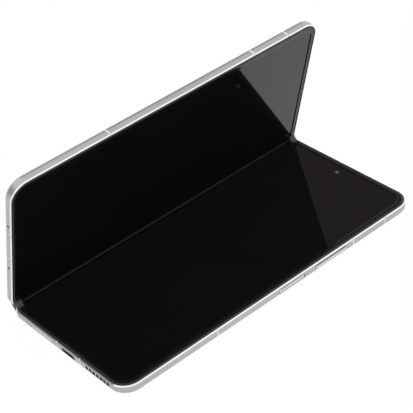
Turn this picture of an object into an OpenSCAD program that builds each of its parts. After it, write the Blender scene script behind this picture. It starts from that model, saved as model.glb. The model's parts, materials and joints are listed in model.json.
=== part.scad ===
// Book-style foldable phone, standing half folded on the back of its base half.
// Millimetres. X runs from the fold to the key side, Y from the socket edge to the camera edge,
// Z up. The origin is the middle of the base half's back face.
// Pieces of a half are drawn lying flat: x from the fold line outwards, z from the back face up.

/* [Body] */
// Length of the phone along the hinge
body_l = 156.7; // [150:0.1:172]
// Width of one half, from the fold line to its outer face
half_w = 72.7; // [68:0.1:80]
// Thickness of one half
half_t = 4.4; // [4.35:0.05:5.2]
// Corner radius on the outer side, seen from above
outer_r = 8; // [5:0.5:10]
// Corner radius beside the hinge, seen from above
hinge_r = 4.6; // [3:0.1:6]
// Rounding of the back edge
back_r = 2; // [1.2:0.1:2.2]
// Thickness of the metal side walls
rail_t = 1.6; // [1.3:0.1:2]
// Thickness of the wall at the ends of the hinge
end_wall = 1.6; // [1.2:0.05:1.8]
// Width of the polished bevel on the rim
bevel_w = 0.36; // [0.2:0.02:0.44]
// Depth of the polished bevel on the rim
bevel_d = 0.46; // [0.2:0.02:0.8]
// Width of the rim, bevel included
rim_w = 0.48; // [0.46:0.01:0.7]
// Thickness of the metal lip that covers the hinge
lip_t = 0.55; // [0.45:0.05:0.65]
// Thickness of the web between the screen and the inner parts
web_t = 0.6; // [0.4:0.05:0.7]
// Air gap kept between neighbouring pieces of one half
seat = 0.05; // [0.03:0.01:0.08]

/* [Screen] */
// Depth of the screen film under the rim
film_drop = 0.3; // [0.2:0.05:0.4]
// Thickness of the screen film
film_t = 0.12; // [0.08:0.01:0.2]
// Thickness of the display panel
panel_t = 0.4; // [0.3:0.05:0.45]
// Thickness of the metal plate under the display
plate_t = 0.15; // [0.1:0.01:0.2]
// Distance of the display panel's edge from the outer face
panel_inset = 0.75; // [0.72:0.01:1]
// Distance of the screen film's edge from the outer face
film_inset = 2.3; // [2.1:0.1:3]
// Width of the bezel ring
bezel_w = 1.3; // [0.8:0.1:1.4]
// Height of the bezel ring above the rim
bezel_rise = 0.05; // [0:0.01:0.1]
// Distance from the fold line to the stiff part of the screen
fold_zone = 6.2; // [6.2:0.1:7]
// Radius of the bend in the screen film
bend_r = 0.85; // [0.6:0.05:1.2]
// Radius of the bend on top of the end strips
strip_bend_r = 2.6; // [1.5:0.1:3.2]
// Distance from the fold line to the end of the bezel ring
bezel_start = 5.2; // [4.8:0.1:6]
// Radius of the camera hole in the inner screen
punch_r = 1.2; // [0.9:0.1:1.6]
// Distance of the front camera from the fold line
front_cam_x = 34.2; // [20:0.1:50]
// Distance of the front camera from the top edge
front_cam_edge = 6.4; // [5.5:0.1:9]

/* [Hinge] */
// Angle between the two screens in the shown pose
fold_angle = 72; // [50:1:120]
// Distance of each turning axis from the middle of the spine
axis_off = 1.3; // [1.2:0.05:1.4]
// Gap between the two rims when the phone is shut
shut_gap = 0.3; // [0.25:0.05:0.4]
// Running gap between the spine and the lips
spine_gap = 0.1; // [0.08:0.01:0.12]
// Thickness of the spine cover's wall
skin_t = 0.45; // [0.35:0.05:0.5]
// Distance of each hinge unit from the end of the spine's inside
unit_end = 4.3; // [3:0.1:12]
// Width of a hinge arm along the hinge
arm_w = 5; // [4:0.5:6]
// Thickness of the curved rail on a hinge arm
arc_t = 0.6; // [0.5:0.05:0.65]
// Sliding gap beside the curved rail
slide_gap = 0.05; // [0.03:0.01:0.08]
// Number of teeth on each timing gear
gear_teeth = 12; // [10:2:14]
// Pitch radius of each timing gear
gear_r = 0.6; // [0.55:0.01:0.62]
// Face width of each timing gear
gear_w = 1.6; // [1:0.1:2]
// Radius of the timing gear shafts
shaft_r = 0.35; // [0.3:0.01:0.38]
// Running clearance of the shafts
shaft_gap = 0.04; // [0.02:0.01:0.05]
// Width of each timing lever
lever_w = 1.6; // [1.2:0.1:2]
// Reach of the timing levers from the middle of the spine
lever_reach = 8; // [7.5:0.1:8.2]
// Length of each friction clip
clip_w = 2.6; // [2:0.1:3.5]
// Thickness of the walls between the pockets of a hinge unit
unit_wall = 1.1; // [1:0.1:1.4]

/* [Back] */
// Thickness of the back glass and the cover glass
glass_t = 0.55; // [0.4:0.05:0.6]
// Distance of the glass edge from the outer face
glass_inset = 2.3; // [2.25:0.05:3]
// Distance of the glass edge from the fold line
glass_start = 9; // [8.6:0.1:12]
// Width of the ledge that the glass rests on
ledge_w = 1.3; // [0.8:0.1:1.6]
// Thickness of the ledge
ledge_t = 0.5; // [0.4:0.05:0.6]
// Width of the camera island
island_w = 21; // [19:0.5:24]
// Length of the camera island
island_l = 54; // [50:0.5:58]
// Height of the camera island above the back
island_h = 2; // [1:0.1:3]
// Distance of the camera island from the glass edge
island_edge = 4; // [3:0.5:6]
// Radius of each camera window
lens_r = 6; // [5:0.1:7]
// Distance between camera windows
lens_pitch = 15.5; // [15:0.5:17]

/* [Edges] */
// Width of an antenna break
break_w = 0.8; // [0.5:0.1:1.5]
// Depth of an antenna break
break_d = 1.2; // [0.8:0.1:1.25]
// Middle of the power key, from the middle of the phone
power_y = 7.7; // [5:0.1:9]
// Length of the power key
power_l = 14; // [10:0.5:15]
// Middle of the volume key, from the middle of the phone
volume_y = 29.6; // [27:0.1:31]
// Length of the volume key
volume_l = 17.8; // [14:0.1:19]
// Height of the keys
key_h = 1.9; // [1.5:0.1:2.1]
// Height of the middle of the keys above the back
key_z = 2.35; // [2.2:0.05:2.5]
// Gap all round a key
key_gap = 0.12; // [0.08:0.01:0.15]
// How far the volume key stands out
volume_rise = 0.2; // [0.1:0.05:0.4]
// How far the power key lies under the rail's face
power_sink = 0.05; // [0:0.01:0.1]
// Travel of the keys
key_travel = 0.25; // [0.15:0.05:0.3]
// Distance of the volume key's switches from its middle
switch_y = 6; // [4:0.1:7]
// Middle of the cable socket, from the fold line
socket_x = 38; // [32:0.5:40]
// Width of the socket mouth
socket_w = 8.4; // [8.34:0.01:8.6]
// Height of the socket mouth
socket_h = 2.56; // [2.5:0.01:2.6]
// Depth of the socket
socket_d = 7.3; // [6.5:0.1:8]
// Thickness of the socket's metal sleeve
sleeve_t = 0.15; // [0.12:0.01:0.2]
// Length of the card tray along the edge
tray_l = 15; // [13:0.5:15.5]
// How deep the card tray reaches into the body
tray_d = 11.5; // [10:0.5:12]
// Thickness of the card tray
tray_t = 0.9; // [0.7:0.05:1]
// Middle of the card tray, from the fold line
tray_x = 19.5; // [18:0.5:20]
// Height of the card tray's face
tray_face_h = 1.7; // [1.3:0.05:1.8]
// Height of the middle of the card tray's face above the back
tray_face_z = 2.5; // [2.3:0.05:2.6]
// Middle of the speaker holes, from the outer face
speaker_inset = 16; // [14:0.5:18]
// Distance between speaker holes
speaker_pitch = 2.2; // [1.8:0.1:2.3]
// Radius of a speaker hole
speaker_r = 0.55; // [0.3:0.05:0.6]
// Number of speaker holes
speaker_count = 7; // [3:1:7]
// Height of the speaker holes above the back
port_z = 2.75; // [2.4:0.05:2.8]

/* [Hidden] */
$fn = 48;
tiny = 0.01;
big = 60;

half_l = body_l / 2;
half_turn = (180 - fold_angle) / 2;
fold_edge = shut_gap / 2;
axis_z = half_t - axis_off + fold_edge;

film_z1 = half_t - film_drop;
panel_z1 = film_z1 - film_t;
panel_z0 = panel_z1 - panel_t;
web_z1 = panel_z0 - plate_t;
web_z0 = web_z1 - web_t;
bezel_inset = rim_w + 0.03;
plate_step = 0.15;
bezel_z1 = half_t + bezel_rise;
ledge_z1 = glass_t + ledge_t;

spine_z0 = lip_t + spine_gap;
spine_r = axis_z - spine_z0;
spine_half_l = half_l - end_wall - spine_gap;
floor_z = spine_z0 + skin_t;
well_x = axis_off + spine_r + 2 * spine_gap;
well_half_l = half_l - end_wall;

block_z1 = axis_z - 0.65;
arc_r1 = spine_r - skin_t - slide_gap;
arc_r0 = arc_r1 - arc_t;
arm_z0 = axis_z - 1.3;
arm_z1 = axis_z - 0.85;
arm_end = 12.5;
pad_x = well_x + 0.5;
pad_z0 = web_z0 - 1.2;
screw_x = 10.3;
screw_r = 0.5;
screw_hole_gap = 0.02;
screw_head_r = 0.95;
screw_head_h = 0.3;

gear_m = 2 * gear_r / gear_teeth;
gear_tip = gear_r + 0.8 * gear_m;
gear_root = gear_r - 1.05 * gear_m;
timing_x = 3 * gear_r;
shaft_z = floor_z + gear_tip + 0.17;
idler_r = 0.25;
lever_z0 = shaft_z - 0.05;
lever_t = 0.4;
lever_swing = 0.6;
clip_slot = 0.16;
notch_x = 2.2;

// Stations of a hinge unit along Y, counted from the end nearer the phone's middle
side_gap = 0.1;
arm_a = unit_wall;
arm_b = arm_a + arm_w + 2 * side_gap + unit_wall;
gear_y = arm_b + arm_w + 2 * side_gap + unit_wall;
lever_a = gear_y + gear_w + 2 * side_gap + unit_wall;
lever_b = lever_a + lever_w + side_gap;
clip_y = lever_b + lever_w + 2 * side_gap + unit_wall;
unit_l = clip_y + clip_w + 2 * side_gap + unit_wall;
unit_y = spine_half_l - end_wall - unit_end - unit_l;

island_x = half_w - glass_inset - island_edge - island_w / 2;
island_y = half_l - glass_inset - island_edge - island_l / 2;
socket_z = web_z1 - sleeve_t - seat - socket_h / 2;

// Inner parts
inner_x1 = half_w - rail_t;
key_x0 = inner_x1 - 0.3;
part_z0 = ledge_z1 + seat;
part_z1 = web_z0 - seat;
magnet_l = 6;
magnet_w = 2.2;
magnet_gap = 0.2;
magnet_pitch = 10;
magnet_end = 18;
magnet_ys = [for (i = [0 : 2]) -half_l + magnet_end + i * magnet_pitch,
    for (i = [0 : 1]) half_l - magnet_end - magnet_l - i * magnet_pitch];
part_x0 = arm_end + 1.5;
part_x1 = inner_x1 - magnet_w - 1.5;
lower_l = 18;
lower_y1 = -half_l + lower_l;
battery_y0 = lower_y1 + 2;
battery_y1 = island_y - island_l / 2 - 2;
board_z1 = part_z1;
board_t = 0.6;
board_z0 = board_z1 - board_t;
board_y0 = battery_y1 + 1;
board_y1 = half_l - rail_t - 1;
board_l = board_y1 - board_y0;
board_x1 = island_x - island_w / 2 + 3;
shield_mid = (part_x0 + board_x1) / 2;
shield_inset = 1;
shield_gap = 3;
shield_y1 = board_y0 + board_l * 0.34;
shield_y2 = board_y0 + board_l * 0.38;
shield_y3 = board_y0 + board_l * 0.7;
shield_y4 = board_y0 + board_l * 0.5;
lid_board_l = 28;
lid_board_y0 = board_y1 - lid_board_l;
earpiece_shift = 15;
earpiece_x = front_cam_x + earpiece_shift;
earpiece_w = 14;
earpiece_l = 9;
mic_xs = [25, 50.4];
mic_r = 0.4;
switch_x1 = key_x0 - key_travel - seat;
switch_h = 0.6;
switch_base_t = 0.3;
button_l = 3;
button_h = 1;
reader_wall = 0.2;
reader_end = 0.3;
speaker_x = half_w - speaker_inset;
speaker_half_l = speaker_count * speaker_pitch / 2 + 0.8;
front_cam_r = 2.4;
front_cam_y = half_l - front_cam_edge;
front_cam_z0 = 1.3;
cover_cam_r = 2.6;
cover_cam_edge = 9;
cover_cam_y = half_l - cover_cam_edge;
cam_room = 0.3;
display_gap = 0.3;
window_t = 0.5;
window_seat_d = 0.6;
window_lip = 0.8;
lens_shift = 3;
lens_tube_r = lens_r - 1;
module_w = 12;
module_l = 13;
flash_r = 1.6;
flash_end = 4.2;
flash_y = island_y - island_l / 2 + flash_end;
flash_t = 2.5;
break_ys = [-31.8, 42.5, 61.2];
break_xs = [30.8, 45.6];
tray_z = tray_face_z - tray_face_h / 2 + seat + tray_t / 2;
tray_gap = 0.08;
tray_half = tray_l / 2 - 0.8;
tray_rim = 1;
eject_r = 0.35;
eject_x = tray_x - tray_l / 2 + 1.6;
socket_start = 0.5;
socket_end_t = 0.4;
tongue_w = 6.7;
tongue_t = 0.7;
tongue_start = 1.2;
key_stem_w = 2;
key_stem_gap = 0.08;
base_arm_y = unit_y + arm_a + side_gap;
lid_arm_y = unit_y + arm_b + side_gap;
base_lever_y = unit_y + lever_a + side_gap;
lid_lever_y = unit_y + lever_b + side_gap;

// Places
module in_base() translate([-half_w / 2, 0, 0]) children();

module turn_about(x, z, angle)
    translate([x, 0, z]) rotate([0, angle, 0]) translate([-x, 0, -z]) children();

module in_spine() in_base() turn_about(axis_off, axis_z, half_turn) children();

module in_lid()
    in_spine() turn_about(-axis_off, axis_z, half_turn) mirror([1, 0, 0]) children();

module both_ends() {
    children();
    mirror([0, 1, 0]) children();
}

// A profile in X and Z, run along Y from y0 to y1
module run_y(y0, y1)
    translate([0, y1, 0]) rotate([90, 0, 0]) linear_extrude(y1 - y0) children();

// Box from its low corner to its high corner
module span(low, high) translate(low) cube(high - low);

// Upright disc
module disc(x, y, z0, z1, r) translate([x, y, z0]) cylinder(h = z1 - z0, r = r);

// Rounded bar lying along Y, seen from the side: length, height and depth along X
module pill_x(y, z, l, h, x0, x1)
    translate([x0, y, z]) rotate([90, 0, 90]) linear_extrude(x1 - x0) pill(l, h);

// Rounded bar lying along X, seen from the end: length, height and depth along Y
module pill_y(x, z, l, h, y0, y1)
    translate([x, y1, z]) rotate([90, 0, 0]) linear_extrude(y1 - y0) pill(l, h);

module pill(l, h) {
    square([l - h, h], center = true);
    for (s = [-1, 1]) translate([s * (l - h) / 2, 0]) circle(h / 2);
}

// Outline of a half, set in by d on its three outer sides
module plan(d, start = fold_edge) {
    translate([start, -(half_l - d)])
        square([half_w - outer_r - start, 2 * (half_l - d)]);
    translate([start, -(half_l - outer_r)])
        square([half_w - d - start, 2 * (half_l - outer_r)]);
    for (s = [-1, 1])
        translate([half_w - outer_r, s * (half_l - outer_r)]) circle(outer_r - d);
}

module slab(z0, z1) translate([0, 0, z0]) linear_extrude(z1 - z0) children();

// Cross-section of the metal rail: x inwards from the outer face
module rail_section() {
    difference() {
        square([back_r + 0.5, half_t]);
        difference() {
            translate([-tiny, -tiny]) square(back_r + tiny);
            translate([back_r, back_r]) circle(back_r);
        }
        polygon([[-1, half_t + 1], [-1, half_t - bevel_d], [0, half_t - bevel_d],
            [bevel_w, half_t], [bevel_w, half_t + 1]]);
    }
}

// Solid outer form of a half
module half_form() {
    edge_l = body_l - 2 * outer_r;
    side_l = half_w - outer_r - fold_edge;
    difference() {
        union() {
            slab(0, half_t) plan(back_r);
            translate([half_w, 0, 0]) mirror([1, 0, 0]) run_y(-edge_l / 2, edge_l / 2) rail_section();
            both_ends() {
                translate([fold_edge, -half_l, 0]) rotate([0, 0, 90])
                    run_y(-side_l, 0) rail_section();
                translate([half_w - outer_r, -(half_l - outer_r), 0]) rotate([0, 0, -90])
                    rotate_extrude(angle = 90) translate([outer_r, 0]) mirror([1, 0]) rail_section();
            }
        }
        both_ends() translate([fold_edge, -half_l, 0]) hinge_corner_cut();
    }
}

// Rounds the corner beside the hinge, and carries the rail's section around the end wall there
module hinge_corner_cut() {
    difference() {
        span([-1, -1, -1], [hinge_r, hinge_r, half_t + 1]);
        disc(hinge_r, hinge_r, -2, half_t + 2, hinge_r);
    }
    difference() {
        span([-1, -1, -1], [hinge_r, end_wall, half_t + 1]);
        translate([hinge_r, hinge_r, 0]) rotate(180)
            rotate_extrude(angle = 90) translate([hinge_r, 0]) mirror([1, 0]) rail_section();
    }
}

// Room cut out of a half for its screen, its inner parts, its glass and the spine
module half_rooms() {
    slab(web_z1, half_t + 1) intersection() {
        plan(rim_w);
        translate([bezel_start, -half_l]) square([half_w, body_l]);
    }
    span([-1, -well_half_l, web_z1], [bezel_start + 1, well_half_l, half_t + 1]);
    span([-1, -well_half_l, lip_t], [well_x, well_half_l, half_t + 1]);
    slab(lip_t, web_z0) intersection() {
        plan(rail_t);
        translate([well_x - 1, -well_half_l])
            square([glass_start - ledge_w - well_x + 1, 2 * well_half_l]);
    }
    slab(ledge_z1, web_z0) plan(rail_t, glass_start - ledge_w - tiny);
    slab(-1, glass_t) plan(glass_inset - seat, glass_start - seat);
    slab(glass_t - tiny, ledge_z1 + tiny) plan(glass_inset + ledge_w, glass_start + ledge_w);
}

// Where the timing levers swing through the web
module lever_pocket(y)
    span([well_x - tiny, y - side_gap, web_z0 - tiny],
        [lever_reach + lever_swing, y + lever_w + side_gap, web_z1 + tiny]);

// Thin slabs across the rail at each antenna break
module break_slabs(w, d) {
    for (y = break_ys) span([half_w - d, y - w / 2, -1], [half_w + 1, y + w / 2, half_t + 1]);
    for (x = break_xs) both_ends()
        span([x - w / 2, -half_l - 1, -1], [x + w / 2, -half_l + d, half_t + 1]);
}

module half_frame(arm_y, lever_y) difference() {
    half_form();
    half_rooms();
    break_slabs(break_w, break_d);
    both_ends() disc(screw_x, arm_y + arm_w / 2, web_z0 - 1, web_z1 + 1, screw_r + screw_hole_gap);
    both_ends() lever_pocket(lever_y);
    children();
}

module half_breaks() intersection() {
    half_form();
    break_slabs(break_w - 0.04, break_d - 0.02);
    slab(0, half_t) difference() {
        plan(0);
        plan(rim_w + break_d);
    }
    difference() {
        slab(0, half_t) plan(0);
        half_rooms();
    }
}

module half_bezel() slab(panel_z1, bezel_z1) intersection() {
    difference() {
        plan(bezel_inset);
        plan(bezel_inset + bezel_w, fold_edge - 1);
    }
    translate([bezel_start, -half_l]) square([half_w, body_l]);
}

module half_plate(z0, z1, inset) slab(z0, z1) plan(inset, fold_zone);

module half_glass() slab(0, glass_t - seat) plan(glass_inset, glass_start);

// Curve of a layer across the fold
function rad(a) = a * PI / 180;

// Where the point (x, z) of the base half lies, seen from the spine
function seen_from_spine(x, z) = [
    axis_off + (x - axis_off) * cos(half_turn) - (z - axis_z) * sin(half_turn),
    axis_z + (x - axis_off) * sin(half_turn) + (z - axis_z) * cos(half_turn)];

// Height above the spine's back where the line at height z on a half meets the middle plane
function crossing(z) = let (p = seen_from_spine(0, z)) p[1] - p[0] * tan(half_turn);

// The bends of all layers have one centre line, so a lower layer has a larger radius
function layer_r(z) = bend_r + film_z1 - z;

// Points of a line at height z on the halves, across the fold from x on one half to x on the
// other, with a bend of radius r in the middle
function fold_line(x, z, r, steps = 12) =
    let (p = seen_from_spine(x, z), centre = crossing(z) + r / cos(half_turn))
    concat([p],
        [for (i = [-steps : steps]) let (a = -half_turn * i / steps) [r * sin(a), centre - r * cos(a)]],
        [[-p[0], p[1]]]);

function reversed(line) = [for (i = [len(line) - 1 : -1 : 0]) line[i]];

module folded_layer(x, z0, z1, y0, y1)
    run_y(y0, y1) polygon(concat(
        fold_line(x, z1, layer_r(z1)),
        reversed(fold_line(x, z0, layer_r(z0)))));

// Cross-section of the spine, set in by d
module spine_section(d) intersection() {
    union() {
        for (s = [-1, 1]) translate([s * axis_off, axis_z]) circle(spine_r - d);
        translate([-axis_off, axis_z - spine_r + d]) square([2 * axis_off, spine_r - d]);
    }
    translate([-big, -big]) square([2 * big, big + axis_z]);
}

// Curved rail of a hinge arm and its flange, on the base side, lying flat
module arm_section() {
    difference() {
        translate([axis_off, axis_z]) circle(arc_r1);
        translate([axis_off, axis_z]) circle(arc_r0);
        translate([axis_off, axis_z]) polygon([[0, 0], [3 * cos(-150), 3 * sin(-150)], [-big, 0],
            [-big, big], [big, big], [big, arm_z1 - axis_z], [arc_r0, arm_z1 - axis_z]]);
    }
    difference() {
        translate([axis_off + 0.4, arm_z0]) square([pad_x - axis_off, arm_z1 - arm_z0]);
        translate([axis_off, axis_z]) circle(arc_r0);
    }
    translate([pad_x, pad_z0]) square([arm_end - pad_x, web_z0 - seat - pad_z0]);
}

module arm_at(y) difference() {
    run_y(y, y + arm_w) arm_section();
    disc(screw_x, y + arm_w / 2, pad_z0 - 1, web_z0 + 1, screw_r + seat);
}

module screw_at(y) {
    disc(screw_x, y, pad_z0 - screw_head_h, pad_z0, screw_head_r);
    disc(screw_x, y, pad_z0 - tiny, web_z1 - seat, screw_r);
}

// Outline of a timing gear: flanks follow an involute of the base circle
pressure = 20;
flank_gap = 0.012;
function involute(a) = tan(a) - rad(a);
function half_tooth(r) =
    let (base_r = gear_r * cos(pressure),
        at = r <= base_r ? 0 : acos(base_r / r))
    90 / gear_teeth - flank_gap / gear_r * 180 / PI + (involute(pressure) - involute(at)) * 180 / PI;

module gear_outline() {
    steps = [gear_root, gear_r * cos(pressure), gear_r, gear_tip];
    polygon([for (i = [0 : gear_teeth - 1]) each concat(
        [for (r = steps) let (a = i * 360 / gear_teeth - half_tooth(r)) r * [cos(a), sin(a)]],
        [for (k = [3 : -1 : 0]) let (r = steps[k], a = i * 360 / gear_teeth + half_tooth(r))
            r * [cos(a), sin(a)]])]);
}

module rod_y(x, z, y0, y1, r) translate([x, y1, z]) rotate([90, 0, 0]) cylinder(h = y1 - y0, r = r);

// A gear on its own axis, turned by a degrees about +Y from where it stands when the phone is flat
module gear_at(x, y0, a, phase)
    translate([x, y0 + gear_w, shaft_z]) rotate([0, a, 0]) rotate([90, 0, 0])
        linear_extrude(gear_w) rotate(phase) gear_outline();

half_pitch = 180 / gear_teeth;

// Base half
module base_frame() color("silver") in_base() half_frame(base_arm_y, base_lever_y) {
    key_room(power_y, power_l);
    key_room(volume_y, volume_l);
    socket_room();
    tray_room();
    speaker_holes();
    disc(front_cam_x, front_cam_y, web_z0 - 1, web_z1 + 1, front_cam_r + seat);
}

module key_room(y, l)
    pill_x(y, key_z, l + 2 * key_gap, key_h + 2 * key_gap, key_x0 - 0.7, half_w + 1);

module socket_room() {
    w = socket_w + 2 * sleeve_t + 2 * seat;
    h = socket_h + 2 * sleeve_t + 2 * seat;
    pill_y(socket_x, socket_z, w, h, -half_l - 1, -half_l + rail_t + socket_d);
    span([socket_x - w / 2, -half_l + rail_t - tiny, web_z0 - tiny],
        [socket_x + w / 2, -half_l + socket_d + seat, web_z1 + tiny]);
}

module tray_room()
    pill_y(tray_x, tray_face_z, tray_l + 2 * tray_gap, tray_face_h + 2 * tray_gap,
        -half_l - 1, -half_l + rail_t + tiny);

module speaker_holes()
    for (i = [0 : speaker_count - 1])
        rod_y(speaker_x + (i - (speaker_count - 1) / 2) * speaker_pitch, port_z,
            -half_l - 1, -half_l + rail_t + 1, speaker_r);

module base_antenna_breaks() color("whitesmoke") in_base() half_breaks();

module back_glass() color("silver") in_base() difference() {
    half_glass();
    island_prism(-1, 1, seat);
}

module island_prism(z0, z1, more)
    translate([island_x, island_y, z0]) rotate(90) linear_extrude(z1 - z0)
        pill(island_l + 2 * more, island_w + 2 * more);

lens_ys = [for (i = [1, 0, -1]) island_y + lens_shift + i * lens_pitch];

module camera_island() color("gray") in_base() difference() {
    island_prism(-island_h, ledge_z1, 0);
    for (y = lens_ys) {
        disc(island_x, y, -island_h - 1, -island_h + window_seat_d, lens_r + seat);
        disc(island_x, y, -island_h, ledge_z1 + 1, lens_r - window_lip);
    }
    disc(island_x, flash_y, -island_h - 1, ledge_z1 + 1, flash_r + seat);
}

module camera_windows() color([0.05, 0.05, 0.06]) in_base()
    for (y = lens_ys) disc(island_x, y, -island_h + seat, -island_h + seat + window_t, lens_r);

module camera_modules() color([0.12, 0.12, 0.13]) in_base() for (y = lens_ys) {
    disc(island_x, y, -island_h + window_seat_d + seat, ledge_z1, lens_tube_r);
    span([island_x - module_w / 2, y - module_l / 2, part_z0],
        [island_x + module_w / 2, y + module_l / 2, part_z1]);
    disc(island_x, y, ledge_z1 - tiny, part_z0 + tiny, lens_tube_r - 0.2);
}

module flash_window() color("ivory") in_base()
    disc(island_x, flash_y, -island_h + 2 * seat, -island_h + 2 * seat + flash_t, flash_r);

module base_bezel() color([0.2, 0.2, 0.21]) in_base() half_bezel();

module base_display_panel() color([0.03, 0.03, 0.03]) in_base() difference() {
    half_plate(panel_z0, panel_z1, panel_inset);
    punch_hole();
}

module base_screen_film() color([0.05, 0.05, 0.05]) in_base() difference() {
    half_plate(panel_z1, film_z1, film_inset);
    punch_hole();
}

module base_support_plate() color([0.6, 0.6, 0.62]) in_base() difference() {
    half_plate(web_z1, panel_z0, panel_inset + plate_step);
    punch_hole();
}

module punch_hole()
    disc(front_cam_x, front_cam_y, web_z1 - 1, half_t + 1, punch_r);

module front_camera() color([0.1, 0.1, 0.12]) in_base() {
    disc(front_cam_x, front_cam_y, front_cam_z0, web_z1 - seat, front_cam_r);
    disc(front_cam_x, front_cam_y, web_z1 - seat - tiny, film_z1 - 0.1, punch_r - seat);
}

module base_battery() color([0.25, 0.26, 0.28]) in_base() difference() {
    span([part_x0, battery_y0, part_z0], [part_x1, battery_y1, part_z1]);
    for (x = [part_x0, part_x1])
        span([x - 0.4, battery_y0 - 1, part_z0 - 1], [x + 0.4, battery_y1 + 1, part_z0 + 0.4]);
}

module main_board() color("darkgreen") in_base() difference() {
    span([part_x0, board_y0, board_z0], [board_x1, board_y1, board_z1]);
    disc(front_cam_x, front_cam_y, board_z0 - 1, board_z1 + 1, front_cam_r + cam_room);
}

module board_shields() color([0.7, 0.7, 0.72]) in_base() {
    shield(part_x0 + shield_inset, shield_mid - shield_inset, board_y0 + shield_inset, shield_y1);
    shield(part_x0 + shield_inset, shield_mid - shield_gap, shield_y2, shield_y3);
    shield(shield_mid + shield_inset, board_x1 - shield_inset, board_y0 + shield_inset, shield_y4);
}

module shield(x0, x1, y0, y1) span([x0, y0, part_z0], [x1, y1, board_z0 - seat]);

module lower_board() color("darkgreen") in_base()
    span([tray_x + tray_l / 2 + 1.5, -half_l + socket_d + 1, board_z0], [part_x1, lower_y1, board_z1]);

module socket_sleeve() color([0.75, 0.75, 0.76]) in_base() difference() {
    pill_y(socket_x, socket_z, socket_w + 2 * sleeve_t, socket_h + 2 * sleeve_t,
        -half_l + socket_start, -half_l + socket_d);
    pill_y(socket_x, socket_z, socket_w, socket_h, -half_l, -half_l + socket_d - socket_end_t);
}

module socket_tongue() color([0.08, 0.08, 0.09]) in_base()
    span([socket_x - tongue_w / 2, -half_l + tongue_start, socket_z - tongue_t / 2],
        [socket_x + tongue_w / 2, -half_l + socket_d - socket_end_t - tiny, socket_z + tongue_t / 2]);

module loudspeaker() color([0.15, 0.15, 0.16]) in_base()
    span([speaker_x - speaker_half_l, -half_l + rail_t + seat, part_z0],
        [speaker_x + speaker_half_l, -half_l + socket_d + 0.8, part_z1]);

module vibration_motor() color([0.65, 0.65, 0.67]) in_base()
    span([speaker_x - speaker_half_l - 2, -half_l + socket_d + 1.5, part_z0],
        [speaker_x, lower_y1 - 2, board_z0 - seat]);

module card_reader() color([0.72, 0.72, 0.74]) in_base() difference() {
    room = tray_half + tray_gap;
    room_y1 = -half_l + rail_t + tray_d + reader_end;
    span([tray_x - room - reader_wall, -half_l + rail_t + seat, part_z0],
        [tray_x + room + reader_wall, room_y1 + reader_end, part_z1]);
    span([tray_x - room, -half_l, tray_z - tray_t / 2 - tray_gap],
        [tray_x + room, room_y1, tray_z + tray_t / 2 + tray_gap]);
    span([tray_x - tray_half + tray_rim, -half_l, part_z0 - 1],
        [tray_x + tray_half - tray_rim, -half_l + rail_t + tray_d - tray_rim, tray_z]);
}

module key_switches() color([0.8, 0.8, 0.8]) in_base() {
    span([switch_x1 - switch_h - switch_base_t, power_y - power_l / 2, part_z0],
        [switch_x1 - switch_h, volume_y + volume_l / 2, part_z1]);
    for (y = [power_y, volume_y - switch_y, volume_y + switch_y])
        pill_x(y, key_z - 0.3, button_l, button_h, switch_x1 - switch_h - tiny, switch_x1);
}

module magnet_row() for (y = magnet_ys)
    span([inner_x1 - magnet_w - magnet_gap, y, part_z0], [inner_x1 - magnet_gap, y + magnet_l, part_z1]);

module base_magnets() color([0.55, 0.55, 0.57]) in_base() magnet_row();

module base_hinge_arms() color([0.62, 0.62, 0.64]) in_base() both_ends() arm_at(base_arm_y);

module base_arm_screws() color([0.3, 0.3, 0.32]) in_base() both_ends() screw_at(base_arm_y + arm_w / 2);

// Spine
module spine_cover() color([0.7, 0.7, 0.71]) in_spine() difference() {
    run_y(-spine_half_l, spine_half_l) spine_section(0);
    run_y(-spine_half_l + end_wall, spine_half_l - end_wall) spine_section(skin_t);
    both_ends() span([-big, spine_half_l - end_wall - 1, block_z1], [big, spine_half_l + 1, axis_z + 1]);
    both_ends() {
        wall_notch(1, arm_a, arm_w);
        wall_notch(-1, arm_b, arm_w);
        wall_notch(1, lever_a, lever_w);
        wall_notch(-1, lever_b, lever_w);
    }
    span([-big, -cable_w / 2 - 1, arm_z0], [big, cable_w / 2 + 1, axis_z + 1]);
}

cable_w = 12;
cable_t = 0.15;

// Notch in the spine's side wall at a station of the hinge unit
module wall_notch(side, y, w)
    span([side > 0 ? notch_x : -big, unit_y + y, arm_z0 - 0.1],
        [side > 0 ? big : -notch_x, unit_y + y + w + 2 * side_gap, axis_z + 1]);

module hinge_blocks() color([0.5, 0.5, 0.52]) in_spine() both_ends() translate([0, unit_y, 0])
difference() {
    intersection() {
        run_y(0, unit_l) spine_section(skin_t + seat);
        span([-big, -1, 0], [big, unit_l + 1, block_z1]);
    }
    arm_groove(arm_a);
    mirror([1, 0, 0]) arm_groove(arm_b);
    span([-timing_x - gear_tip - 0.1, gear_y, floor_z - 1],
        [timing_x + gear_tip + 0.1, gear_y + gear_w + 2 * side_gap, big]);
    span([-big, lever_a, floor_z + 0.1], [big, lever_b + lever_w + side_gap, big]);
    for (s = [-1, 1]) {
        rod_y(s * timing_x, shaft_z, gear_y - unit_wall + 0.2, unit_l + 1, shaft_r + shaft_gap);
        rod_y(s * timing_x, shaft_z, clip_y, clip_y + clip_w + 2 * side_gap, gear_tip);
        rod_y(s * gear_r, shaft_z, gear_y - unit_wall + 0.2, lever_a - 0.2, idler_r + shaft_gap);
    }
}

module arm_groove(y) {
    y1 = y + arm_w + 2 * side_gap;
    run_y(y, y1) difference() {
        translate([axis_off, axis_z]) circle(spine_r);
        translate([axis_off, axis_z]) circle(arc_r0 - slide_gap);
    }
    span([axis_off + arc_r0 * 0.7, y, arm_z0 - 0.1], [big, y1, big]);
}

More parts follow.
